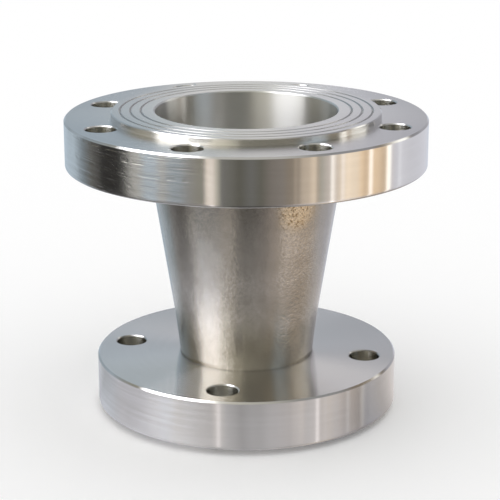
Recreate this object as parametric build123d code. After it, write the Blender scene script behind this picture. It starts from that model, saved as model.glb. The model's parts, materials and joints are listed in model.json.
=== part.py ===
from build123d import *
import os
from math import floor

# Reducing flange, turned from one piece: a large drilled flange on top, a tapered neck,
# and a small drilled flange below. The z axis is the flow axis, z = 0 is the small raised face.
# All sizes are in millimetres and all angles in degrees.

# Large flange; its rim stands a set distance outside the bolt holes' centres
large_bolt_circle = 190.5
large_bolt_count = 8
large_hole_to_rim = 17.25
large_flange_thickness = 29.4

# Small flange; its bolt pattern is turned from the centre line of the large one
small_bolt_circle = 152.4
small_bolt_count = 4
small_hole_to_rim = 19.05
small_flange_thickness = 30.5
small_pattern_turn = -12.8

# Clear distance between the two flanges
flange_distance = 123.3

# Bolt holes, the same in both flanges
bolt_hole_dia = 19.05
bolt_hole_chamfer = 0.7

# Raised gasket faces, which run out to just inside the bolt holes
raised_face_height = 4.0
raised_face_clearance = 1.5
raised_face_chamfer = 0.6

# Concentric V grooves in both raised faces, set in from the outer edge
groove_edge_margin = 5.5
groove_pitch = 6.45
groove_width = 1.6
groove_depth = 0.8

# Flow passage: a straight bore through each flange and a little past it, joined by a cone
large_bore_dia = 113.0
small_bore_dia = 73.0
large_bore_run_past_flange = 0.6
small_bore_run_past_flange = 15.0
bore_chamfer = 0.8

# Neck wall, measured square to the axis, under the large flange, at the waist and at the foot
neck_wall_top = 4.2
neck_wall_waist = 6.6
neck_wall_foot = 6.0
neck_waist_height = 36.5
neck_top_fillet = 3.0

# Fine turned recess where the foot of the neck meets the small flange
root_recess_height = 0.9
root_recess_depth = 0.6

# Broken edges of the two rims
rim_chamfer = 1.1

# Levels along the axis
small_flange_bottom = raised_face_height
small_flange_top = small_flange_bottom + small_flange_thickness
large_flange_bottom = small_flange_top + flange_distance
large_flange_top = large_flange_bottom + large_flange_thickness
top_face = large_flange_top + raised_face_height
small_bore_end = small_flange_top + small_bore_run_past_flange
large_bore_end = large_flange_bottom - large_bore_run_past_flange
waist_level = small_flange_top + neck_waist_height

# Radii
large_rim_radius = large_bolt_circle / 2 + large_hole_to_rim
small_rim_radius = small_bolt_circle / 2 + small_hole_to_rim
large_bore_radius = large_bore_dia / 2
small_bore_radius = small_bore_dia / 2


def passage_radius(level):
    """Radius of the flow passage at a level along the axis."""
    share = (level - small_bore_end) / (large_bore_end - small_bore_end)
    share = min(max(share, 0.0), 1.0)
    return small_bore_radius + share * (large_bore_radius - small_bore_radius)


def raised_face_radius(bolt_circle):
    """The raised face ends just short of the broken edge of the bolt holes."""
    return bolt_circle / 2 - bolt_hole_dia / 2 - bolt_hole_chamfer - raised_face_clearance


def groove_radii(face_radius, bore_radius):
    """Radii of the V grooves that fit on a raised face, from the outermost inwards."""
    room = face_radius - bore_radius - 2 * groove_edge_margin
    count = floor(room / groove_pitch) + 1
    return [face_radius - groove_edge_margin - i * groove_pitch for i in range(count)]


def face_points(level, inward, face_radius, bore_radius):
    """Section of a raised face from its bore edge out to its rim; inward points into the metal."""
    points = [(bore_radius, level + inward * bore_chamfer), (bore_radius + bore_chamfer, level)]
    for radius in reversed(groove_radii(face_radius, bore_radius)):
        points.append((radius - groove_width / 2, level))
        points.append((radius, level + inward * groove_depth))
        points.append((radius + groove_width / 2, level))
    points.append((face_radius - raised_face_chamfer, level))
    points.append((face_radius, level + inward * raised_face_chamfer))
    return points


def rim_points(outer_radius, first_level, last_level):
    """Section of a flange rim with both edges broken, from the first level to the last."""
    step = rim_chamfer if last_level > first_level else -rim_chamfer
    return [
        (outer_radius - rim_chamfer, first_level),
        (outer_radius, first_level + step),
        (outer_radius, last_level - step),
        (outer_radius - rim_chamfer, last_level),
    ]


def make_turned_body():
    """Both flanges, the neck and the flow passage, revolved from one half section."""
    large_face_radius = raised_face_radius(large_bolt_circle)
    small_face_radius = raised_face_radius(small_bolt_circle)
    neck_top = (passage_radius(large_flange_bottom) + neck_wall_top, large_flange_bottom)
    waist = (passage_radius(waist_level) + neck_wall_waist, waist_level)
    foot = (small_bore_radius + neck_wall_foot, small_flange_top + root_recess_height)
    taper = (waist[0] - neck_top[0], waist[1] - neck_top[1])

    # Flow passage and large raised face, then the large rim down to the top of the neck
    upper = [(small_bore_radius, small_bore_end), (large_bore_radius, large_bore_end)]
    upper += face_points(top_face, -1, large_face_radius, large_bore_radius)
    upper.append((large_face_radius, large_flange_top))
    upper += rim_points(large_rim_radius, large_flange_top, large_flange_bottom)
    upper.append(neck_top)

    # Recess at the foot of the neck, small rim, small raised face and back up the bore
    recess_radius = foot[0] - root_recess_depth
    lower = [foot, (recess_radius, foot[1]), (recess_radius, small_flange_top)]
    lower += rim_points(small_rim_radius, small_flange_top, small_flange_bottom)
    lower.append((small_face_radius, small_flange_bottom))
    lower += reversed(face_points(0, 1, small_face_radius, small_bore_radius))
    lower.append(upper[0])

    with BuildPart() as body:
        with BuildSketch(Plane.XZ):
            with BuildLine():
                Polyline(*upper)
                Line(neck_top, waist)
                TangentArc(waist, foot, tangent=taper)
                Polyline(*lower)
            make_face()
        revolve(axis=Axis.Z)
        root = body.edges().filter_by(GeomType.CIRCLE).filter_by_position(
            Axis.Z, large_flange_bottom, large_flange_bottom
        )
        fillet(root.sort_by(SortBy.RADIUS)[0], neck_top_fillet)
    return body.part


def make_bolt_hole(thickness):
    """Cutter for one bolt hole through a flange, with both edges broken."""
    radius = bolt_hole_dia / 2
    wide = radius + bolt_hole_chamfer
    past = raised_face_height / 2
    outline = Polyline(
        (0, -past),
        (wide, -past),
        (wide, 0),
        (radius, bolt_hole_chamfer),
        (radius, thickness - bolt_hole_chamfer),
        (wide, thickness),
        (wide, thickness + past),
        (0, thickness + past),
        close=True,
    )
    return revolve(Plane.XZ * make_face(outline), Axis.Z)


def make_bolt_pattern(thickness, bottom, bolt_circle, count, first_angle):
    """Cutters for a ring of bolt holes; the first angle is counted from the +X axis."""
    hole = make_bolt_hole(thickness)
    ring = []
    for i in range(count):
        turn = Rot(0, 0, first_angle + i * 360 / count)
        ring.append(Pos(0, 0, bottom) * turn * Pos(bolt_circle / 2, 0, 0) * hole)
    return ring


def make_reducing_flange():
    """The whole part. The large pattern straddles the axes; the small one is turned a little."""
    body = make_turned_body()
    body -= make_bolt_pattern(
        large_flange_thickness,
        large_flange_bottom,
        large_bolt_circle,
        large_bolt_count,
        180 / large_bolt_count,
    )
    body -= make_bolt_pattern(
        small_flange_thickness,
        small_flange_bottom,
        small_bolt_circle,
        small_bolt_count,
        -90 + small_pattern_turn,
    )
    return body


os.makedirs("parts", exist_ok=True)
export_step(make_reducing_flange(), "parts/reducing_flange.step")
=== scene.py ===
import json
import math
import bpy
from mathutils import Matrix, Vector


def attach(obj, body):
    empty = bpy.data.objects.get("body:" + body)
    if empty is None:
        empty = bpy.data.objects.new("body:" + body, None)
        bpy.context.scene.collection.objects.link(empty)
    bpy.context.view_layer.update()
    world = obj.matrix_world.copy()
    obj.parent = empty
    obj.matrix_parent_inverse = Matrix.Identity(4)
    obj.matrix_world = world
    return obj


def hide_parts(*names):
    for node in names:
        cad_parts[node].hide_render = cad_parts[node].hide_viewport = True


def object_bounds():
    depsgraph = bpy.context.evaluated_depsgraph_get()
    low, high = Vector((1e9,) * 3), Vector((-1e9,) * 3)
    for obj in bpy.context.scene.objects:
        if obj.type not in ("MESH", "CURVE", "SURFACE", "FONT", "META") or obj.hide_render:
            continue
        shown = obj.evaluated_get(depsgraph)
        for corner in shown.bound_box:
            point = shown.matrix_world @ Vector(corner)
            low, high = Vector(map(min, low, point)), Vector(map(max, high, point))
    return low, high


bl_info = {
    "name": "Reducing flange",
    "version": (1, 0, 0),
    "blender": (4, 5, 0),
    "location": "View3D > Sidebar > Reducing flange",
    "description": "Turned stainless steel reducer with two drilled flanges, and its studio",
    "category": "Add Mesh",
}

import bpy
from bpy.props import FloatProperty, FloatVectorProperty, IntProperty, PointerProperty
from mathutils import Vector

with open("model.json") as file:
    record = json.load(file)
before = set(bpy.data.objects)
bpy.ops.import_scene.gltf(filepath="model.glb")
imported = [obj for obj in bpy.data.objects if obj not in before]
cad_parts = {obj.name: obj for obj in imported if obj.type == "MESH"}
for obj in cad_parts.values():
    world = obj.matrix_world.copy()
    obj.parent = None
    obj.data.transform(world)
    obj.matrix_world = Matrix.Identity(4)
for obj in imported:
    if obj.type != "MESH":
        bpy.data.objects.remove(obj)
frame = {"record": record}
CAD_BOX = [list(corner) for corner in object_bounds()]
NODE = "reducing_flange"
MOUNTS = {mount["name"]: mount["dims"] for mount in frame["record"]["mounts"]}
STEEL = frame["record"]["materials"][0]["base_color"]
MM = 0.001

# The record's steel is multiplied by these for the turned surfaces and for the browner neck.
TURNED_TINT = (0.97, 0.965, 0.95)
NECK_TINT = (0.93, 0.90, 0.85)


def mount_size(mount, name):
    """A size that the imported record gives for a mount, in metres."""
    return MOUNTS[mount][name] * MM


def tinted(base, tint):
    """A colour times a tint."""
    return tuple(part * factor for part, factor in zip(base, tint))


def length(name, default, description):
    """A length in metres that a user can change in the sidebar."""
    return FloatProperty(
        name=name, default=default, description=description,
        min=0.0, precision=5, subtype="DISTANCE", unit="LENGTH",
    )


def share(name, default, description):
    """A number from 0 to 1 that a user can change in the sidebar."""
    return FloatProperty(
        name=name, default=default, description=description, min=0.0, max=1.0, subtype="FACTOR",
    )


def colour(name, default, description):
    """A linear colour that a user can change in the sidebar."""
    return FloatVectorProperty(
        name=name, default=default, description=description,
        min=0.0, max=4.0, size=3, subtype="COLOR",
    )


def angle(name, degrees, description):
    """An angle, given in degrees here, that a user can change in the sidebar."""
    return FloatProperty(
        name=name, default=math.radians(degrees), description=description,
        subtype="ANGLE", unit="ROTATION",
    )


def hole_count(name, mount, description):
    """A number of bolt holes that a user can change in the sidebar."""
    return IntProperty(
        name=name, default=MOUNTS[mount]["count"], description=description, min=2, max=24)


# Settings


class ReducerSizes(bpy.types.PropertyGroup):
    """Sizes of the turned body. The CAD frame gives those that have to meet other parts."""

    large_bolt_circle: length(
        "Large bolt circle", mount_size("large_flange_bolts", "pcd_mm"),
        "Bolt circle of the large flange")
    small_bolt_circle: length(
        "Small bolt circle", mount_size("small_flange_bolts", "pcd_mm"),
        "Bolt circle of the small flange")
    bolt_hole_radius: length(
        "Bolt hole radius", mount_size("large_flange_bolts", "hole_r_mm"),
        "Radius of every bolt hole")
    bolt_hole_chamfer: length("Hole chamfer", 0.0007, "Broken edge of the bolt holes")
    large_hole_count: hole_count(
        "Large flange holes", "large_flange_bolts", "Number of bolt holes in the large flange")
    small_hole_count: hole_count(
        "Small flange holes", "small_flange_bolts", "Number of bolt holes in the small flange")
    small_pattern_turn: angle(
        "Small pattern turn", -12.8,
        "Turn of the small bolt pattern away from the large one's centre line")

    large_bore_radius: length(
        "Large bore radius", mount_size("large_bore", "r_mm"), "Bore at the large face")
    small_bore_radius: length(
        "Small bore radius", mount_size("small_bore", "r_mm"), "Bore at the small face")
    large_bore_end: length(
        "Large bore end", 0.1572, "Level at which the large bore starts to narrow")
    small_bore_end: length(
        "Small bore end", 0.0495, "Level at which the small bore starts to widen")
    bore_chamfer: length("Bore chamfer", 0.0008, "Broken edge at both bore mouths")

    large_rim_radius: length("Large rim radius", CAD_BOX[1][0], "Outer radius of the large flange")
    small_rim_radius: length("Small rim radius", 0.09525, "Outer radius of the small flange")
    raised_face_height: length("Raised face height", 0.004, "Step of both raised faces")
    small_flange_top: length("Small flange top", 0.0345, "Level of the small flange's upper face")
    large_flange_bottom: length(
        "Large flange bottom", 0.1578, "Level of the large flange's underside")
    top_face: length("Top face", CAD_BOX[1][2], "Level of the large raised face")
    rim_chamfer: length("Rim chamfer", 0.0011, "Broken edges of both rims")
    face_chamfer: length("Raised face chamfer", 0.0006, "Broken outer edge of both raised faces")
    face_clearance: length("Raised face clearance", 0.0015, "From a raised face to the bolt holes")

    groove_margin: length("Groove margin", 0.0055, "From a raised face's edge to its first groove")
    groove_pitch: length("Groove pitch", 0.00645, "Distance between the gasket grooves")
    groove_width: length("Groove width", 0.0016, "Width of a gasket groove")
    groove_depth: length("Groove depth", 0.0008, "Depth of a gasket groove")

    wall_top: length("Wall at the top", 0.0042, "Neck wall under the large flange")
    wall_waist: length("Wall at the waist", 0.0066, "Neck wall at the waist")
    wall_foot: length("Wall at the foot", 0.006, "Neck wall at its foot")
    waist_level: length("Waist level", 0.071, "Level below which the neck straightens")
    neck_fillet: length("Neck fillet", 0.003, "Rounding where the neck meets the large flange")
    recess_height: length("Recess height", 0.0009, "Height of the turned recess at the foot")
    recess_depth: length("Recess depth", 0.0006, "Depth of the turned recess at the foot")

    turning_steps: IntProperty(
        name="Turning steps", default=288, min=24, max=512,
        description="Number of steps in which the section is spun round")


class SteelFinish(bpy.types.PropertyGroup):
    """How the steel is finished, region by region."""

    steel: colour("Steel", tinted(STEEL, TURNED_TINT), "Bare turned steel")
    neck_steel: colour("Neck steel", tinted(STEEL, NECK_TINT), "Browner steel of the neck")
    bore_steel: colour("Bore steel", (0.64, 0.63, 0.60), "Duller steel inside the passage")
    hole_steel: colour("Hole steel", (0.56, 0.55, 0.50), "Dull steel inside the bolt holes")
    rim_roughness: share("Rim roughness", 0.13, "Roughness of the turned rims")
    face_roughness: share("Face roughness", 0.17, "Roughness of the faced surfaces")
    step_roughness: share("Step roughness", 0.26, "Roughness of raised edges and hole chamfers")
    groove_roughness: share("Groove roughness", 0.45, "Roughness of the gasket grooves")
    neck_roughness: share("Neck roughness", 0.20, "Roughness of the satin neck")
    hole_roughness: share("Hole roughness", 0.22, "Roughness of the drilled bolt holes")
    bore_roughness: share("Bore roughness", 0.35, "Roughness of the bored passage")


class StudioLook(bpy.types.PropertyGroup):
    """Camera and floor."""

    lens: FloatProperty(
        name="Lens", default=119.5, min=20.0, max=300.0, unit="CAMERA",
        description="Focal length in millimetres on a 36 mm sensor")
    camera_distance: length("Camera distance", 1.0072, "From the part's axis, along the floor")
    camera_height: length("Camera height", 0.4025, "Above the floor")
    camera_side: length("Camera side step", 0.0023, "Sideways shift of the camera to its right")
    camera_turn: angle(
        "Camera turn", -2.09, "Turn of the camera round the part's axis, to the right")
    camera_dip: angle("Camera dip", 16.71, "How far the camera looks down")
    floor_colour: colour("Floor", (1.0, 1.0, 1.0), "Plain pale floor")


# Section of the turned body


# Straight pieces in each rounding, and how close a guard point stands to a joint.
RIM_ARC_STEPS = 4
FILLET_STEPS = 6
NECK_ARC_STEPS = 10
GUARD = 0.0012


def passage_radius(s, level):
    """Radius of the flow passage at a level along the axis."""
    part = (level - s.small_bore_end) / (s.large_bore_end - s.small_bore_end)
    part = min(max(part, 0.0), 1.0)
    return s.small_bore_radius + part * (s.large_bore_radius - s.small_bore_radius)


def arc(start, heading, end, steps):
    """Points after the start on the arc that leaves it along the heading and reaches the end."""
    start, end = Vector(start), Vector(end)
    heading = Vector(heading).normalized()
    square = Vector((-heading.y, heading.x))
    chord = end - start
    radius = chord.length_squared / (2 * chord.dot(square))
    centre = start + square * radius
    sweep = 2 * math.atan2(chord.dot(square), chord.dot(heading))
    points = []
    for i in range(1, steps + 1):
        turn = sweep * i / steps
        points.append(centre + heading * radius * math.sin(turn) - square * radius * math.cos(turn))
    return [tuple(point) for point in points]


def face_section(s, level, inward, face_radius, bore_radius):
    """A raised face with its V grooves, from the bore edge out; inward points into the metal."""
    points = [(bore_radius, level + inward * s.bore_chamfer), (bore_radius + s.bore_chamfer, level)]
    room = face_radius - bore_radius - 2 * s.groove_margin
    count = int(room / s.groove_pitch) + 1
    for i in reversed(range(count)):
        radius = face_radius - s.groove_margin - i * s.groove_pitch
        points.append((radius - s.groove_width / 2, level))
        points.append((radius, level + inward * s.groove_depth))
        points.append((radius + s.groove_width / 2, level))
    points.append((face_radius - s.face_chamfer, level))
    points.append((face_radius, level + inward * s.face_chamfer))
    return points


def rim_section(s, radius, top, bottom):
    """A flange rim from top to bottom: its upper edge is broken, its lower one rounded."""
    edge = s.rim_chamfer
    start = (radius, bottom + edge)
    rim = [(radius - edge, top), (radius, top - edge), (radius, bottom + 2 * edge), start]
    rim += arc(start, (0.0, -1.0), (radius - edge, bottom), RIM_ARC_STEPS)
    rim.append((radius - 2 * edge, bottom))
    return rim


def raised_face_radius(s, bolt_circle):
    """A raised face ends just short of the broken edges of the bolt holes."""
    return bolt_circle / 2 - s.bolt_hole_radius - s.bolt_hole_chamfer - s.face_clearance


def body_section(s):
    """Closed half section of the whole turned body, as radius and level.

    Where two parts of the section meet at a flat angle or in a rounding, a guard point close to
    the joint keeps the smooth shading of the one from bending that of the other.
    """
    large_face = raised_face_radius(s, s.large_bolt_circle)
    small_face = raised_face_radius(s, s.small_bolt_circle)
    large_top = s.top_face - s.raised_face_height

    corner = Vector((passage_radius(s, s.large_flange_bottom) + s.wall_top, s.large_flange_bottom))
    waist = Vector((passage_radius(s, s.waist_level) + s.wall_waist, s.waist_level))
    foot = Vector((s.small_bore_radius + s.wall_foot, s.small_flange_top + s.recess_height))
    taper = (waist - corner).normalized()
    inwards = Vector((-1.0, 0.0))
    reach = s.neck_fillet * math.tan(inwards.angle(taper) / 2)
    fillet_start = corner - inwards * reach
    fillet_end = corner + taper * reach

    points = []
    for level in (s.small_bore_end, s.large_bore_end):
        for near in (level - GUARD, level, level + GUARD):
            points.append((passage_radius(s, near), near))
    points += face_section(s, s.top_face, -1, large_face, s.large_bore_radius)
    points.append((large_face, large_top))
    points += rim_section(s, s.large_rim_radius, large_top, s.large_flange_bottom)
    points.append(tuple(fillet_start - inwards * GUARD))
    points.append(tuple(fillet_start))
    points += arc(fillet_start, inwards, fillet_end, FILLET_STEPS)
    points.append(tuple(fillet_end + taper * GUARD))
    points.append(tuple(waist))
    points += arc(waist, taper, foot, NECK_ARC_STEPS)
    points.append((foot.x - s.recess_depth, foot.y))
    points.append((foot.x - s.recess_depth, s.small_flange_top))
    points += rim_section(s, s.small_rim_radius, s.small_flange_top, s.raised_face_height)
    points.append((small_face, s.raised_face_height))
    points += reversed(face_section(s, 0.0, 1, small_face, s.small_bore_radius))
    return points


# Modelling


# Size of the plane that becomes an outline's first point, and sides of a drill.
SEED_SIZE = 0.001
DRILL_SIDES = 64
# Points are merged when they are this close: drawn or spun, and after drilling.
MERGE_DISTANCE = 0.00001
SLIVER_WIDTH = 0.000002
# A point this close to a level lies on it.
LEVEL_TOLERANCE = 0.000001
SMOOTH_BELOW = math.radians(30.0)


def clear_selection():
    """Leaves nothing selected, so the next operator works on its own object only."""
    bpy.ops.object.select_all(action="DESELECT")


def pick(piece):
    """Selects one object only and makes it the active one."""
    clear_selection()
    piece.select_set(True)
    bpy.context.view_layer.objects.active = piece


def edit(active):
    """Opens an object in edit mode with everything selected."""
    bpy.context.view_layer.objects.active = active
    bpy.ops.object.mode_set(mode="EDIT")
    bpy.ops.mesh.select_all(action="SELECT")


def draw_outline(name, points):
    """Draws a closed outline in the XZ plane by extruding one vertex from point to point."""
    clear_selection()
    bpy.ops.mesh.primitive_plane_add(size=SEED_SIZE, location=(points[0][0], 0.0, points[0][1]))
    outline = bpy.context.object
    outline.name = outline.data.name = name
    bpy.ops.object.transform_apply(location=True, rotation=True, scale=True)
    edit(outline)
    bpy.ops.mesh.merge(type="CENTER")
    for here, there in zip(points, points[1:] + points[:1]):
        step = (there[0] - here[0], 0.0, there[1] - here[1])
        bpy.ops.mesh.extrude_vertices_move(TRANSFORM_OT_translate={"value": step})
    bpy.ops.mesh.select_all(action="SELECT")
    bpy.ops.mesh.remove_doubles(threshold=MERGE_DISTANCE)
    return outline


def turn_body(s):
    """Spins the section once round the axis, which gives a closed shell."""
    body = draw_outline("turned_reducer", body_section(s))
    bpy.ops.mesh.select_all(action="SELECT")
    bpy.ops.mesh.spin(
        steps=s.turning_steps, angle=math.tau, center=(0.0, 0.0, 0.0), axis=(0.0, 0.0, 1.0))
    bpy.ops.mesh.select_all(action="SELECT")
    bpy.ops.mesh.remove_doubles(threshold=MERGE_DISTANCE)
    bpy.ops.mesh.normals_make_consistent(inside=False)
    bpy.ops.object.mode_set(mode="OBJECT")
    return body


def make_drill(s, bottom, top, place):
    """A drill for one bolt hole: straight in the middle, flared where it breaks both edges."""
    clear_selection()
    low, high = bottom + s.bolt_hole_chamfer, top - s.bolt_hole_chamfer
    bpy.ops.mesh.primitive_cylinder_add(
        vertices=DRILL_SIDES, radius=s.bolt_hole_radius, depth=high - low,
        location=(place[0], place[1], (low + high) / 2))
    drill = bpy.context.object
    bpy.ops.object.transform_apply(location=True, rotation=True, scale=True)
    flare = (s.bolt_hole_radius + s.bolt_hole_chamfer) / s.bolt_hole_radius
    past = s.raised_face_height / 2
    for level, side in ((high, 1.0), (low, -1.0)):
        pick(drill)
        for face in drill.data.polygons:
            face.select = abs(face.center.z - level) < LEVEL_TOLERANCE
        for edge in drill.data.edges:
            edge.select = False
        for vertex in drill.data.vertices:
            vertex.select = abs(vertex.co.z - level) < LEVEL_TOLERANCE
        bpy.ops.object.mode_set(mode="EDIT")
        bpy.ops.mesh.select_mode(type="FACE")
        rise = (0.0, 0.0, side * s.bolt_hole_chamfer)
        bpy.ops.mesh.extrude_region_move(TRANSFORM_OT_translate={"value": rise})
        bpy.ops.transform.resize(
            value=(flare, flare, 1.0), center_override=(place[0], place[1], level))
        bpy.ops.mesh.extrude_region_move(TRANSFORM_OT_translate={"value": (0.0, 0.0, side * past)})
        bpy.ops.mesh.select_mode(type="VERT")
        bpy.ops.object.mode_set(mode="OBJECT")
    return drill


def drill_flange(s, body, bottom, top, bolt_circle, count, first_angle):
    """Drills a ring of bolt holes through one flange; the first angle is counted from +X."""
    for i in range(count):
        turn = first_angle + i * math.tau / count
        place = (bolt_circle / 2 * math.cos(turn), bolt_circle / 2 * math.sin(turn))
        drill = make_drill(s, bottom, top, place)
        pick(body)
        cut = body.modifiers.new("bolt hole", "BOOLEAN")
        cut.operation = "DIFFERENCE"
        cut.solver = "EXACT"
        cut.object = drill
        bpy.ops.object.modifier_apply(modifier=cut.name)
        bpy.data.objects.remove(drill)


def merge_slivers(body):
    """Merges the hair-thin faces that a cut leaves where it ends level with a face."""
    pick(body)
    edit(body)
    bpy.ops.mesh.remove_doubles(threshold=SLIVER_WIDTH)
    bpy.ops.object.mode_set(mode="OBJECT")


# Materials


class Tree:
    """Short calls to add and join the nodes of one material or world."""

    def __init__(self, owner):
        owner.use_nodes = True
        self.tree = owner.node_tree
        self.tree.nodes.clear()

    def plug(self, socket, value):
        """Links another node's output to a socket, or sets the socket to a value."""
        if isinstance(value, bpy.types.NodeSocket):
            self.tree.links.new(value, socket)
        else:
            socket.default_value = value

    def add(self, kind, inputs=(), **settings):
        """Adds a node; inputs are socket names or numbers with a value or another node's output."""
        node = self.tree.nodes.new(kind)
        for name, value in settings.items():
            setattr(node, name, value)
        for socket, value in dict(inputs).items():
            self.plug(node.inputs[socket], value)
        return node

    def math(self, operation, first, second=0.0):
        """One arithmetic step."""
        return self.add("ShaderNodeMath", {0: first, 1: second}, operation=operation).outputs[0]

    def product(self, first, *others):
        """Values multiplied one after another."""
        for other in others:
            first = self.math("MULTIPLY", first, other)
        return first

    def weighted(self, first, *others):
        """Sum of pairs of a value and its weight."""
        total = self.product(*first)
        for pair in others:
            total = self.math("ADD", total, self.product(*pair))
        return total

    def spread(self, value, low, high, to_low=0.0, to_high=1.0, smooth=True):
        """Maps a range of a value to another range, eased at both ends unless smooth is off."""
        return self.add(
            "ShaderNodeMapRange",
            {"Value": value, 1: low, 2: high, 3: to_low, 4: to_high},
            interpolation_type="SMOOTHSTEP" if smooth else "LINEAR").outputs["Result"]

    def band(self, value, start, full, fade, end):
        """One from full to fade, eased down to nothing at the start and the end."""
        return self.product(
            self.spread(value, start, full), self.spread(value, fade, end, 1.0, 0.0))

    def mix(self, factor, first, second):
        """Mixes two colours."""
        node = self.add("ShaderNodeMix", {0: factor}, data_type="RGBA")
        for socket, value in ((6, first), (7, second)):
            if isinstance(value, tuple):
                value = (*value, 1.0)
            self.plug(node.inputs[socket], value)
        return node.outputs[2]

    def noise(self, vector, scale=1.0, detail=2.0, roughness=0.5):
        """Smooth noise around one half."""
        return self.add(
            "ShaderNodeTexNoise",
            {"Vector": vector, "Scale": scale, "Detail": detail, "Roughness": roughness},
        ).outputs["Fac"]

    def stretch(self, vector, scale):
        """Coordinates scaled apart along the three axes."""
        return self.add("ShaderNodeMapping", {"Vector": vector, "Scale": scale}).outputs[0]

    def ramp(self, value, stops):
        """A colour ramp from a list of place and colour."""
        node = self.add("ShaderNodeValToRGB", {0: value})
        ramp = node.color_ramp
        ramp.interpolation = "LINEAR"
        while len(ramp.elements) < len(stops):
            ramp.elements.new(1.0)
        for element, (place, tint) in zip(ramp.elements, stops):
            element.position = place
            element.color = (*tint, 1.0)
        return node.outputs["Color"]


# Levels between which the finish of the small flange passes into that of the large one, and
# sideways places between which the worn left side passes into the clean rest.
SMALL_TO_LARGE = (0.05, 0.15)
WORN_TO_CLEAN = (-0.045, -0.012)
# Most noise lies between these.
NOISE_RANGE = (0.3, 0.7)
# Dulled steel, and painted shade on the satin neck, have their colour multiplied by these.
TURNED_DULL = (0.72, 0.70, 0.66)
SATIN_DULL_AND_SHADE = (0.55, 0.52, 0.47)
# Four kinds of turning marks. Scored lines and the breaks in them have these edges in their noise.
BROAD_MARKS = {"along": 18.0, "fine": 420.0, "detail": 3.0}
FINE_MARKS = {"along": 30.0, "fine": 1900.0, "detail": 2.0}
SCORE_MARKS = {"along": 8.0, "fine": 760.0, "detail": 1.0}
BREAK_MARKS = {"along": 150.0, "fine": 200.0, "detail": 1.0}
SCORE_EDGE = (0.44, 0.62)
BREAK_EDGE = (0.42, 0.58)
# Shares of the wear and of the relief on the small flange, and of the relief and of the stain on
# the clean side.
SMALL_WEAR = 0.3
SMALL_RELIEF = 0.45
CLEAN_RELIEF = 0.10
CLEAN_STAIN = 0.35
# How dark a scored line is, and the least and most of the roughness of turned steel.
SCORED_DARK = 0.5
TURNED_ROUGH = (0.97, 1.03)


def object_coordinates(t):
    """Place on the object, and its three parts."""
    place = t.add("ShaderNodeTexCoord").outputs["Object"]
    return place, t.add("ShaderNodeSeparateXYZ", {0: place}).outputs


def across_marks(t, parts):
    """A value that changes across turning marks, on rims as on faces, and not along them."""
    flat = t.add("ShaderNodeCombineXYZ", {0: parts[0], 1: parts[1]}).outputs[0]
    radius = t.add("ShaderNodeVectorMath", {0: flat}, operation="LENGTH").outputs["Value"]
    return t.math("ADD", radius, parts[2])


def marks(t, parts, across, along, fine, detail):
    """Noise drawn out into turning marks: slow along them round the part, fast across them."""
    vector = t.add(
        "ShaderNodeCombineXYZ",
        {
            0: t.product(parts[0], along),
            1: t.product(parts[1], along),
            2: t.product(across, fine),
        },
    ).outputs[0]
    return t.noise(vector, detail=detail)


def combed_metal(t, tint, rough, height, depth):
    """Metal whose shine is combed round the axis, with a relief; it ends a material's tree."""
    bump = t.add("ShaderNodeBump", {"Strength": 1.0, "Distance": depth, "Height": height})
    tangent = t.add("ShaderNodeTangent", direction_type="RADIAL", axis="Z")
    shader = t.add(
        "ShaderNodeBsdfPrincipled",
        {
            "Base Color": tint,
            "Metallic": 1.0,
            "Roughness": rough,
            "Anisotropic": 1.0,
            "Anisotropic Rotation": 0.25,
            "Normal": bump.outputs[0],
            "Tangent": tangent.outputs[0],
        },
    )
    t.add("ShaderNodeOutputMaterial", {"Surface": shader.outputs[0]})


def turned_steel(
        name, steel, roughness, depth, stain, fine_share=0.12, scored=0.0, coarser=1.0):
    """Bright turned steel with lines round the axis.

    The depth of the lines is in metres, the stain says how dark the clouded places get, and the
    fine share how much the finest lines add. On the left some lines are scored deeper, in broken
    pieces. The small flange is coarser by a factor.
    """
    material = bpy.data.materials.new(name)
    t = Tree(material)
    place, parts = object_coordinates(t)
    across = across_marks(t, parts)
    broad = marks(t, parts, across, **BROAD_MARKS)
    fine = marks(t, parts, across, **FINE_MARKS)
    scores = t.spread(marks(t, parts, across, **SCORE_MARKS), *SCORE_EDGE)
    breaks = t.spread(marks(t, parts, across, **BREAK_MARKS), *BREAK_EDGE)
    worn = t.product(
        t.spread(parts[0], *WORN_TO_CLEAN, 1.0, 0.0),
        t.spread(parts[2], *SMALL_TO_LARGE, SMALL_WEAR, 1.0))
    deep = t.product(scores, breaks, worn)
    lines = t.weighted((broad,), (fine, fine_share))
    height = t.product(
        t.math("SUBTRACT", lines, t.product(deep, scored)),
        t.spread(parts[0], *WORN_TO_CLEAN, 1.0, CLEAN_RELIEF),
        t.spread(parts[2], *SMALL_TO_LARGE, SMALL_RELIEF, 1.0))

    cloud = t.noise(place, scale=38.0, detail=4.0)
    darkest = t.spread(parts[0], *WORN_TO_CLEAN, 1.0 - stain, 1.0 - stain * CLEAN_STAIN)
    shade = t.product(
        t.spread(t.weighted((cloud, 0.5), (broad, 0.5)), *NOISE_RANGE, darkest, 1.0),
        t.spread(deep, 0.0, 1.0, 1.0, 1.0 - scored * SCORED_DARK))
    tint = t.mix(shade, tinted(steel, TURNED_DULL), steel)
    rough = t.product(
        t.spread(fine, *NOISE_RANGE, *(roughness * part for part in TURNED_ROUGH)),
        t.spread(parts[2], *SMALL_TO_LARGE, coarser, 1.0))
    combed_metal(t, tint, rough, height, depth)
    return material


# A stained patch under the large flange: its centre, from where to where it fades out, how ragged
# its edge is, and the tints of the patch and of the specks in it, with their strengths.
PATCH_CENTRE = (0.029, -0.049, 0.141)
PATCH_EDGE = (0.013, 0.024)
PATCH_RAGGED = 0.012
GOLD_TINT = (0.60, 0.51, 0.37)
GOLD_SHARE = 0.85
TAN_STAIN = (0.26, 0.17, 0.08)
TAN_SHARE = 0.9
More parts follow.
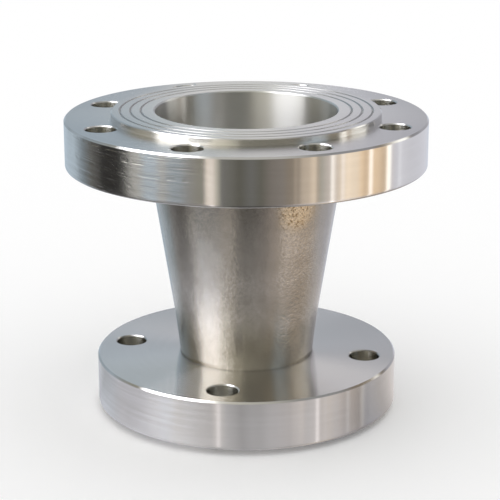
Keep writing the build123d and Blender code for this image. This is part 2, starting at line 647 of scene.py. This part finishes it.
# Edges in the noise of pits, mottles and specks, and of coarse places with their least and most.
PIT_EDGE = (0.24, 0.42)
MOTTLE_EDGE = (0.42, 0.58)
SPECK_EDGE = (0.54, 0.60)
COARSE_CLOUD = (0.45, 0.65, 0.4, 1.0)
# Upright bands of the neck that are coarser than the rest, by their places to the side, and how
# much coarser they and the patch are.
COARSE_BANDS = ((-0.022, -0.016, -0.010, -0.004), (0.014, 0.022, 0.038, 0.046))
BAND_COARSE = 1.4
PATCH_COARSE = 1.1
# Painted shade on the neck: under the large flange, in a belt below its middle that spares the
# left, and at the foot, left fully and right by half. A tone is how bright the darkest place there
# is.
UNDER_FLANGE_SHADE = (0.085, 0.145)
UNDER_FLANGE_SHADE_TONE = 0.50
BELT_SHADE = (0.058, 0.085, 0.100, 0.120)
BELT_SHADE_START = (-0.024, -0.010)
BELT_SHADE_TONE = 0.60
FOOT_SHADE_ZONE = (0.045, 0.075)
FOOT_SHADE_TONE = 0.55
FOOT_SHADE_LEFT = (-0.016, -0.006)
FOOT_SHADE_RIGHT = (0.006, 0.016)
FOOT_SHADE_RIGHT_SHARE = 0.5
CLOUD_TONE = 0.55
PIT_TONE = 0.70
MOTTLE_TONE = 0.55
MOTTLE_FULL = 2.5
# Painted shade in the crevice at the foot: its level, how ragged that is, and how far to the
# sides it starts.
CREVICE_SHADE = (0.0335, 0.0350)
CREVICE_SHADE_RAGGED = 0.004
CREVICE_SHADE_SIDES = (0.012, 0.032)
# Weights of cloud and streaks in the neck's colour, the depth of its relief in metres, the weights
# of dents, streaks, grain and pits in it, and the least and most of the neck's roughness.
CLOUD_SHARE = 0.8
STREAK_SHARE = 0.2
NECK_RELIEF = 0.0001
DENT_RELIEF = 0.6
STREAK_RELIEF = 0.02
GRAIN_RELIEF = 1.6
PIT_RELIEF = 0.06
NECK_ROUGH = (0.85, 1.2)


def neck_shade(t, parts, cloud, coarse, grain, pits, streaks):
    """How bright the neck's steel is: 1 where bare, lower where dulled at random and where shade is
    painted under the large flange, in a belt, at the foot and in the crevice.
    """
    # Painted shade: a belt below the middle, and the foot, left fully and right by half.
    belt_shade = t.product(t.band(parts[2], *BELT_SHADE), t.spread(parts[0], *BELT_SHADE_START))
    foot_shade_sides = t.math(
        "ADD", t.spread(parts[0], *FOOT_SHADE_LEFT, 1.0, 0.0),
        t.spread(parts[0], *FOOT_SHADE_RIGHT, 0.0, FOOT_SHADE_RIGHT_SHARE))
    foot_shade_tone = t.spread(parts[2], *FOOT_SHADE_ZONE, FOOT_SHADE_TONE, 1.0)
    mottled = t.product(coarse, t.spread(grain, *MOTTLE_EDGE))
    # Painted shade in the crevice at the foot, with a ragged edge, on the sides only.
    ragged = t.math("SUBTRACT", parts[2], t.product(cloud, CREVICE_SHADE_RAGGED))
    aside = t.spread(t.math("ABSOLUTE", parts[0]), *CREVICE_SHADE_SIDES)
    crevice_shade = t.product(t.spread(ragged, *CREVICE_SHADE, 1.0, 0.0), aside)
    return t.product(
        t.spread(
            t.weighted((cloud, CLOUD_SHARE), (streaks, STREAK_SHARE)),
            *NOISE_RANGE, CLOUD_TONE, 1.0),
        t.spread(pits, 0.0, 1.0, PIT_TONE, 1.0),
        # Painted shade under the large flange, in the belt and at the foot.
        t.spread(parts[2], *UNDER_FLANGE_SHADE, 1.0, UNDER_FLANGE_SHADE_TONE),
        t.spread(belt_shade, 0.0, 1.0, 1.0, BELT_SHADE_TONE),
        t.math("ADD", t.product(foot_shade_tone, foot_shade_sides), t.math("SUBTRACT", 1.0, foot_shade_sides)),
        t.spread(mottled, 0.0, MOTTLE_FULL, 1.0, MOTTLE_TONE, smooth=False),
        # Painted shade in the crevice at the foot.
        t.math("SUBTRACT", 1.0, crevice_shade))


def satin_steel(name, steel, roughness):
    """Satin steel of the neck: slightly uneven, with faint streaks, pits, a tan stain and painted
    shade under the flange, in a belt, at the foot and in the crevice.
    """
    material = bpy.data.materials.new(name)
    t = Tree(material)
    place, parts = object_coordinates(t)
    dents = t.noise(place, scale=75.0, detail=2.0)
    streaks = t.noise(t.stretch(place, (420.0, 420.0, 40.0)), detail=3.0)
    grain = t.noise(place, scale=590.0, detail=3.0, roughness=0.65)
    cloud = t.noise(place, scale=45.0, detail=4.0)
    spots = t.noise(
        t.stretch(place, (1.0, 1.0, 0.6)), scale=480.0, detail=2.0, roughness=0.7)
    pits = t.spread(spots, *PIT_EDGE)

    away = t.add(
        "ShaderNodeVectorMath", {0: place, 1: PATCH_CENTRE}, operation="DISTANCE").outputs["Value"]
    patch = t.spread(t.weighted((away,), (cloud, PATCH_RAGGED)), *PATCH_EDGE, 1.0, 0.0)
    coarse = t.weighted(
        (t.spread(cloud, *COARSE_CLOUD),), (patch, PATCH_COARSE),
        *((t.band(parts[0], *places), BAND_COARSE) for places in COARSE_BANDS))
    height = t.weighted(
        (dents, DENT_RELIEF), (streaks, STREAK_RELIEF), (grain, coarse, GRAIN_RELIEF),
        (pits, PIT_RELIEF))

    # The neck's shade is random dulling together with painted shade.
    shade = neck_shade(t, parts, cloud, coarse, grain, pits, streaks)
    tint = t.mix(shade, tinted(steel, SATIN_DULL_AND_SHADE), steel)
    tint = t.mix(t.product(patch, GOLD_SHARE), tint, GOLD_TINT)
    specks = t.product(patch, t.spread(grain, *SPECK_EDGE), TAN_SHARE)
    tint = t.mix(specks, tint, TAN_STAIN)
    rough = t.spread(grain, *NOISE_RANGE, *(roughness * part for part in NECK_ROUGH))
    combed_metal(t, tint, rough, height, NECK_RELIEF)
    return material


# The turned piece


REGIONS = ("rim", "face", "step", "groove", "neck", "bore", "hole")
# How far past its size a region's limits reach.
HOLE_REACH = 0.001
WALL_REACH = 0.0005
GROOVE_REACH = 0.002
NECK_FOOT_GAP = 0.0001
NECK_TOP_GAP = 0.00001
# Upward parts of a normal, from an upright face to a level one, and outward parts of it.
UPRIGHT = 0.1
STEEP = 0.5
LEVEL = 0.8
ALMOST_LEVEL = 0.95
FACES_IN = -0.5
FACES_OUT = 0.1


def region_of(s, face):
    """Which finish a face of the turned body gets, by its place and normal."""
    centre, rise = face.center, abs(face.normal.z)
    radius = math.hypot(centre.x, centre.y)
    outward = (centre.x * face.normal.x + centre.y * face.normal.y) / radius
    for bolt_circle, low, high in (
        (s.large_bolt_circle, s.large_flange_bottom, s.top_face),
        (s.small_bolt_circle, 0.0, s.small_flange_top),
    ):
        in_ring = abs(radius - bolt_circle / 2) < s.bolt_hole_radius + HOLE_REACH
        if in_ring and low - HOLE_REACH < centre.z < high + HOLE_REACH and rise < ALMOST_LEVEL:
            return "hole" if rise < STEEP else "step"
    if outward < FACES_IN and radius < s.large_bore_radius + WALL_REACH:
        return "bore"
    above_foot = centre.z > s.small_flange_top + NECK_FOOT_GAP
    if above_foot and centre.z < s.large_flange_bottom - NECK_TOP_GAP and outward > FACES_OUT:
        return "neck"
    if rise > LEVEL:
        return "face"
    for bolt_circle, bore_radius in (
        (s.large_bolt_circle, s.large_bore_radius), (s.small_bolt_circle, s.small_bore_radius)):
        edge = raised_face_radius(s, bolt_circle)
        on_face = centre.z > s.top_face - s.raised_face_height or centre.z < s.raised_face_height
        if on_face and rise < UPRIGHT and abs(radius - edge) < WALL_REACH:
            return "step"
        if on_face and bore_radius + GROOVE_REACH < radius < edge - GROOVE_REACH:
            return "groove"
    return "rim"


def assign_regions(s, body, finishes):
    """Gives each region of the body its own material slot."""
    for name in REGIONS:
        body.data.materials.append(finishes[name])
    regions = [region_of(s, face) for face in body.data.polygons]
    for index, name in enumerate(REGIONS):
        edit(body)
        bpy.ops.mesh.select_all(action="DESELECT")
        bpy.ops.mesh.select_mode(type="FACE")
        bpy.ops.object.mode_set(mode="OBJECT")
        for face, region in zip(body.data.polygons, regions):
            face.select = region == name
        bpy.ops.object.mode_set(mode="EDIT")
        body.active_material_index = index
        bpy.ops.object.material_slot_assign()
        bpy.ops.object.mode_set(mode="OBJECT")


def make_finishes(look):
    """One material for each region of the body."""
    steel = tuple(look.steel)
    return {
        "rim": turned_steel(
            "turned_rim", steel, look.rim_roughness,
            depth=0.00012, stain=0.5, fine_share=0.20, scored=0.38),
        "face": turned_steel(
            "faced_steel", steel, look.face_roughness, depth=0.0000015, stain=0.12, coarser=1.35),
        "step": turned_steel(
            "step_steel", steel, look.step_roughness, depth=0.00001, stain=0.3),
        "groove": turned_steel(
            "groove_steel", steel, look.groove_roughness, depth=0.00001, stain=0.3),
        "neck": satin_steel("satin_neck", tuple(look.neck_steel), look.neck_roughness),
        "bore": turned_steel(
            "bored_steel", tuple(look.bore_steel), look.bore_roughness,
            depth=0.000002, stain=0.05, fine_share=0.3),
        "hole": turned_steel(
            "drilled_steel", tuple(look.hole_steel), look.hole_roughness,
            depth=0.00001, stain=0.6, fine_share=4.0),
    }


class MESH_OT_turned_reducer_add(bpy.types.Operator):
    """Turn the reducer from its section, drill both flanges and finish its surfaces"""

    bl_idname = "mesh.turned_reducer_add"
    bl_label = "Turned reducer"
    bl_options = {"REGISTER", "UNDO"}

    def execute(self, context):
        s = context.scene.reducer_sizes
        body = turn_body(s)
        drill_flange(
            s, body, s.large_flange_bottom, s.top_face - s.raised_face_height,
            s.large_bolt_circle, s.large_hole_count, math.pi / s.large_hole_count)
        drill_flange(
            s, body, s.raised_face_height, s.small_flange_top,
            s.small_bolt_circle, s.small_hole_count, -math.pi / 2 + s.small_pattern_turn)
        merge_slivers(body)
        if not body.data.polygons:
            raise RuntimeError("the turned body came out empty")
        assign_regions(s, body, make_finishes(context.scene.steel_finish))
        pick(body)
        bpy.ops.object.shade_smooth_by_angle(angle=SMOOTH_BELOW)
        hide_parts(NODE)
        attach(body, "root")
        return {"FINISHED"}


# Stage


# Hues of the plain panels that stand round the part, each at a brightness of about one.
SKY = (0.84, 1.00, 1.16)
GREY = (1.00, 1.00, 0.98)
SAGE = (1.03, 1.00, 0.86)
ROSE = (1.10, 0.99, 0.90)
SAND = (1.20, 1.00, 0.79)
AMBER = (1.32, 1.00, 0.69)
LILAC = (0.98, 0.99, 1.10)
PALE = (1.00, 0.99, 1.05)
BLUSH = (1.05, 0.99, 1.05)

# What the steel reflects, in rings from the floor up: angle round the part, hue and brightness.
# The angle is 0 towards the camera and grows to its right.
NEAR_ROUND = (
    (-180, PALE, 0.90), (-135, PALE, 0.75), (-122, PALE, 0.60), (-110, LILAC, 0.95),
    (-92, LILAC, 1.25), (-81, LILAC, 1.48), (-66, LILAC, 1.50), (-58, PALE, 1.44),
    (-50, PALE, 1.38), (-43, PALE, 1.22), (-36, PALE, 1.10), (-28, PALE, 0.92), (-19, PALE, 1.00),
    (-14, PALE, 0.94), (-7, PALE, 0.82), (1, PALE, 0.92), (10, PALE, 0.92), (16, PALE, 0.96),
    (24, PALE, 0.90), (31, PALE, 0.76), (38, PALE, 0.82), (45, PALE, 0.76), (61, PALE, 0.60),
    (68, LILAC, 0.58), (75, LILAC, 0.50), (82, LILAC, 0.38), (90, LILAC, 0.40), (105, ROSE, 0.50),
    (120, ROSE, 0.80), (180, PALE, 0.90),
)
UNDER_ROUND = (
    (-180, SKY, 0.42), (-140, SKY, 0.36), (-115, GREY, 0.24), (-100, SAGE, 0.15),
    (-80, SAGE, 0.12), (-50, SAGE, 0.08), (-30, SAGE, 0.10), (-18, SAGE, 0.18), (-11, SAGE, 0.16),
    (-7, SAGE, 0.06), (14, SAGE, 0.06), (26, SAND, 0.10), (40, SAND, 0.20), (49, SAND, 0.45),
    (55, SAND, 0.98), (68, SAND, 0.90), (78, AMBER, 0.50), (93, SAND, 0.30), (116, ROSE, 0.40),
    (145, ROSE, 0.55), (180, SKY, 0.42),
)
MIDDLE_ROUND = (
    (-180, LILAC, 0.60), (-130, SKY, 0.66), (-114, LILAC, 0.48), (-100, LILAC, 0.20),
    (-88, LILAC, 0.15), (-80, LILAC, 0.20), (-74, LILAC, 0.32), (-66, LILAC, 0.52),
    (-55, LILAC, 0.46), (-38, BLUSH, 0.44), (-25.4, BLUSH, 0.65), (-24.8, BLUSH, 2.10),
    (-21.8, BLUSH, 2.00), (-21.0, BLUSH, 0.60), (-15, PALE, 0.20), (-8, PALE, 0.10),
    (8, PALE, 0.12), (20, BLUSH, 0.40), (30, BLUSH, 0.80), (41, BLUSH, 0.95), (52.2, BLUSH, 1.20),
    (52.8, BLUSH, 2.90), (55.6, BLUSH, 2.80), (56.2, BLUSH, 1.10), (62, BLUSH, 1.10),
    (70, LILAC, 0.95), (80, LILAC, 0.72), (99, BLUSH, 0.42), (107, BLUSH, 0.42),
    (118, LILAC, 0.52), (180, LILAC, 0.60),
)
LOW_ROUND = (
    (-180, SKY, 0.60), (-138, SKY, 0.72), (-126, SKY, 0.38), (-115, GREY, 0.18),
    (-107, GREY, 0.10), (-102, GREY, 0.03), (-90, GREY, 0.03), (-86, GREY, 0.06),
    (-82, GREY, 0.16), (-77, GREY, 0.50), (-72, GREY, 0.62), (-66, SKY, 0.68), (-60, SKY, 0.66),
    (-55, GREY, 0.56), (-49, SKY, 0.46), (-43, SKY, 0.42), (-37, GREY, 0.34), (-31, SAGE, 0.32),
    (-27.2, SAGE, 0.30), (-26.2, ROSE, 1.20), (-22, ROSE, 1.00), (-19, SAGE, 0.62),
    (-16.8, GREY, 0.22), (-6, SAGE, 0.17), (1, GREY, 0.24), (7, SAGE, 0.20), (13, ROSE, 0.28),
    (20, ROSE, 0.31), (24, SAND, 0.30), (27.4, SAND, 0.34), (28.0, SAND, 0.50),
    (30.0, SAND, 0.36), (32, SAND, 0.64), (35, SAND, 0.70), (37.6, SAND, 0.74),
    (38.4, SAND, 0.98), (40.8, SAND, 0.92), (42.0, SAND, 0.54), (45, SAGE, 0.56),
    (48, ROSE, 0.70), (50.6, ROSE, 0.74), (51.2, GREY, 1.75), (53.0, ROSE, 1.60),
    (53.8, ROSE, 0.86), (57.6, SAND, 0.95), (58.6, ROSE, 1.50), (60.2, ROSE, 1.40),
    (61, SAND, 1.10), (63, SAND, 1.32), (66, SAND, 1.20), (70, SAND, 1.16), (73.5, AMBER, 1.04),
    (76, AMBER, 0.82), (79.2, AMBER, 0.84), (79.8, ROSE, 2.00), (81.8, ROSE, 1.90),
    (82.6, AMBER, 0.98), (87, AMBER, 0.90), (92, AMBER, 0.70), (95, SAND, 0.84),
    (95.6, ROSE, 2.05), (98.4, GREY, 2.00), (99.4, BLUSH, 0.94), (104, LILAC, 0.98),
    (106.5, LILAC, 0.98), (108, LILAC, 1.30), (110.5, LILAC, 1.04), (118, LILAC, 0.94),
    (150, LILAC, 0.86), (180, SKY, 0.60),
)
HIGH_ROUND = (
    (-180, GREY, 0.95), (-178.5, SKY, 0.50), (-130, SKY, 0.56), (-112, SAGE, 0.70),
    (-90, SAGE, 1.00), (-83.5, GREY, 1.10), (-80.5, GREY, 4.20), (-41, GREY, 4.20),
    (-36, GREY, 2.50), (-31, SAGE, 1.90), (-24, SAGE, 1.65), (-19, SAGE, 1.50), (-13, SAGE, 1.35),
    (-9.5, SAGE, 1.15), (-6.5, SAGE, 0.28), (20, SAGE, 0.26), (42, SAGE, 0.32), (50, SKY, 0.90),
    (66, SKY, 0.90), (71, SAGE, 0.30), (83, SAGE, 0.36), (84, GREY, 4.40), (90, GREY, 4.00),
    (91, SAND, 1.00), (95, SAND, 1.10), (96, GREY, 2.60), (117, GREY, 2.60), (120, LILAC, 0.60),
    (172, LILAC, 0.50), (175, LILAC, 0.82), (177, GREY, 1.00), (180, GREY, 0.95),
)
UPPER_ROUND = (
    (-180, SKY, 0.64), (-130, SKY, 0.60), (-112, SAGE, 0.40), (-86, SAGE, 0.40),
    (-79, GREY, 4.50), (-43, GREY, 4.50), (-37, SAGE, 1.80), (-28, SAGE, 0.95), (-17, SAGE, 0.70),
    (-9, SAGE, 0.50), (-6, SAGE, 0.30), (42, SAGE, 0.32), (50, SKY, 0.80), (66, SKY, 0.76),
    (72, SAGE, 0.30), (82, SAGE, 0.30), (84, GREY, 1.20), (90, GREY, 1.00), (92, SAND, 0.22),
    (128, SAND, 0.24), (136, LILAC, 0.42), (172, LILAC, 0.53), (176, LILAC, 0.62),
    (177, PALE, 0.80), (179, PALE, 0.78), (180, SKY, 0.64),
)
SHOULDER_ROUND = (
    (-180, SKY, 0.56), (-130, SKY, 0.52), (-112, SAGE, 0.40), (-92, SAGE, 0.42),
    (-84, LILAC, 1.50), (-60, LILAC, 1.40), (-48, LILAC, 1.40), (-40, GREY, 1.30),
    (-30, SAGE, 1.05), (-17, SAGE, 1.10), (-13, SAGE, 0.56), (42, SAGE, 0.46), (50, SKY, 1.10),
    (66, SKY, 1.00), (76, SAGE, 0.40), (86, SAND, 0.22), (118, SAND, 0.30), (124, GREY, 2.00),
    (131, GREY, 2.00), (134, LILAC, 0.50), (160, LILAC, 0.84), (172, BLUSH, 1.10),
    (177, LILAC, 0.90), (180, SKY, 0.56),
)
TOP_ROUND = (
    (-180, SKY, 0.62), (-128, SKY, 0.60), (-114, GREY, 0.80), (-108, LILAC, 8.00),
    (-62, LILAC, 7.80), (-45, GREY, 4.20), (-34, GREY, 1.30), (-20, SAGE, 0.90), (10, SAGE, 0.62),
    (60, GREY, 0.40), (120, LILAC, 0.45), (180, SKY, 0.62),
)
# Each ring takes over from the one below it between two heights, as sines of the elevation.
RINGS = (
    ((-0.51, -0.46), MIDDLE_ROUND),
    ((-0.38, -0.34), LOW_ROUND),
    ((-0.05, 0.10), HIGH_ROUND),
    ((0.27, 0.31), UPPER_ROUND),
    ((0.38, 0.46), SHOULDER_ROUND),
    ((0.64, 0.70), TOP_ROUND),
    ((0.88, 0.95), ((-180, GREY, 0.72), (180, GREY, 0.72))),
)

# The panels on the floor fan out from this point, so that they stand upright in the small rim.
# The steel sees this share of them, out to the first distance and fading to the second.
FLOOR_FAN = (0.0, -0.055, 0.0)
FLOOR_SHARE = 0.60
FLOOR_SEEN = (0.195, 0.250)
FLOOR_SIZE = 12.0
# The most stops that a colour ramp holds.
RAMP_STOPS = 32
WHITE = (1.0, 1.0, 1.0, 1.0)
SENSOR_WIDTH = 36.0
VIEW_DEPTH = 50.0


def bearing(t, parts):
    """Angle round the part as a share of a full turn, from behind, past the left and on."""
    turn = t.math("ARCTAN2", parts[0], t.product(parts[1], -1.0))
    return t.math("ADD", t.math("DIVIDE", turn, math.tau), 0.5)


def around(t, turn, stops):
    """Colour round the part. A list that is too long for one colour ramp takes several."""
    placed = [
        ((degrees + 180) / 360, tuple(bright * part for part in hue))
        for degrees, hue, bright in stops]
    colours = t.ramp(turn, placed[:RAMP_STOPS])
    for start in range(RAMP_STOPS - 1, len(placed) - 1, RAMP_STOPS - 1):
        past = t.math("GREATER_THAN", turn, placed[start][0])
        colours = t.mix(past, colours, t.ramp(turn, placed[start:start + RAMP_STOPS]))
    return colours


def for_glossy_rays(t, plain, mirrored):
    """The first shader for all rays but glossy ones, and the second for those."""
    glossy = t.add("ShaderNodeLightPath").outputs["Is Glossy Ray"]
    return t.add(
        "ShaderNodeMixShader", {0: glossy, 1: plain.outputs[0], 2: mirrored.outputs[0]}).outputs[0]


def surroundings(world):
    """Plain white light for the floor and the camera, and plain panels for the steel."""
    t = Tree(world)
    facing = t.add("ShaderNodeTexCoord").outputs["Generated"]
    parts = t.add("ShaderNodeSeparateXYZ", {0: facing}).outputs
    turn = bearing(t, parts)
    panels = around(t, turn, UNDER_ROUND)
    for (start, end), stops in RINGS:
        panels = t.mix(t.spread(parts[2], start, end), panels, around(t, turn, stops))
    reflected = t.add("ShaderNodeBackground", {"Color": panels, "Strength": 1.0})
    plain = t.add("ShaderNodeBackground", {"Color": WHITE, "Strength": 1.0})
    t.add("ShaderNodeOutputWorld", {"Surface": for_glossy_rays(t, plain, reflected)})


def floor_material(look):
    """Pale floor. The steel sees only the part of it that lies close round the part."""
    material = bpy.data.materials.new("pale_floor")
    t = Tree(material)
    place = t.add("ShaderNodeTexCoord").outputs["Object"]
    fan = t.add("ShaderNodeVectorMath", {0: place, 1: FLOOR_FAN}, operation="SUBTRACT").outputs[0]
    turn = bearing(t, t.add("ShaderNodeSeparateXYZ", {0: fan}).outputs)
    away = t.add("ShaderNodeVectorMath", {0: place}, operation="LENGTH").outputs["Value"]
    near = t.spread(away, *FLOOR_SEEN, FLOOR_SHARE, 0.0)
    paint = t.add("ShaderNodeBsdfDiffuse", {"Color": (*look.floor_colour, 1.0)})
    clear = t.add("ShaderNodeBsdfTransparent")
    glow = t.add("ShaderNodeEmission", {"Color": around(t, turn, NEAR_ROUND), "Strength": 1.0})
    mirrored = t.add("ShaderNodeMixShader", {0: near, 1: clear.outputs[0], 2: glow.outputs[0]})
    t.add("ShaderNodeOutputMaterial", {"Surface": for_glossy_rays(t, paint, mirrored)})
    return material


class SCENE_OT_reducer_stage_add(bpy.types.Operator):
    """Set up the pale floor, the plain studio surroundings and the camera"""

    bl_idname = "scene.reducer_stage_add"
    bl_label = "Studio stage"
    bl_options = {"REGISTER", "UNDO"}

    def execute(self, context):
        look = context.scene.studio_look
        clear_selection()
        bpy.ops.mesh.primitive_plane_add(size=FLOOR_SIZE)
        floor = context.object
        floor.name = "studio_floor"
        floor.data.materials.append(floor_material(look))

        world = bpy.data.worlds.new("studio")
        context.scene.world = world
        surroundings(world)
        world.cycles.sampling_method = "NONE"

        turn = look.camera_turn
        right = Vector((math.cos(turn), math.sin(turn), 0.0))
        back = Vector((math.sin(turn), -math.cos(turn), 0.0))
        place = back * look.camera_distance + right * look.camera_side
        place.z = look.camera_height
        bpy.ops.object.camera_add(
            location=place, rotation=(math.pi / 2 - look.camera_dip, 0.0, turn))
        camera = context.object
        camera.data.lens = look.lens
        camera.data.sensor_width = SENSOR_WIDTH
        camera.data.clip_end = VIEW_DEPTH
        context.scene.camera = camera
        context.scene.view_settings.view_transform = "Standard"
        return {"FINISHED"}


# Sidebar


class VIEW3D_PT_reducing_flange(bpy.types.Panel):
    """Lists the pieces, their sizes and finishes"""

    bl_idname = "VIEW3D_PT_reducing_flange"
    bl_label = "Reducing flange"
    bl_space_type = "VIEW_3D"
    bl_region_type = "UI"
    bl_category = "Reducing flange"

    def draw(self, context):
        layout = self.layout
        layout.operator(MESH_OT_turned_reducer_add.bl_idname)
        layout.operator(SCENE_OT_reducer_stage_add.bl_idname)
        for title, group in (
            ("Sizes", context.scene.reducer_sizes),
            ("Steel", context.scene.steel_finish),
            ("Studio", context.scene.studio_look),
        ):
            box = layout.box()
            box.label(text=title)
            for name in group.__annotations__:
                box.prop(group, name)


GROUPS = {"reducer_sizes": ReducerSizes, "steel_finish": SteelFinish, "studio_look": StudioLook}
CLASSES = (
    *GROUPS.values(),
    MESH_OT_turned_reducer_add,
    SCENE_OT_reducer_stage_add,
    VIEW3D_PT_reducing_flange,
)


def register():
    """Registers the classes and gives each scene its three groups of settings."""
    for cls in CLASSES:
        bpy.utils.register_class(cls)
    for name, group in GROUPS.items():
        setattr(bpy.types.Scene, name, PointerProperty(type=group))


def unregister():
    """Takes the settings and the classes away again."""
    for name in GROUPS:
        delattr(bpy.types.Scene, name)
    for cls in reversed(CLASSES):
        bpy.utils.unregister_class(cls)


def main():
    """Builds the part and its stage in order."""
    register()
    bpy.ops.mesh.turned_reducer_add()
    bpy.ops.scene.reducer_stage_add()


if __name__ == "__main__":
    main()
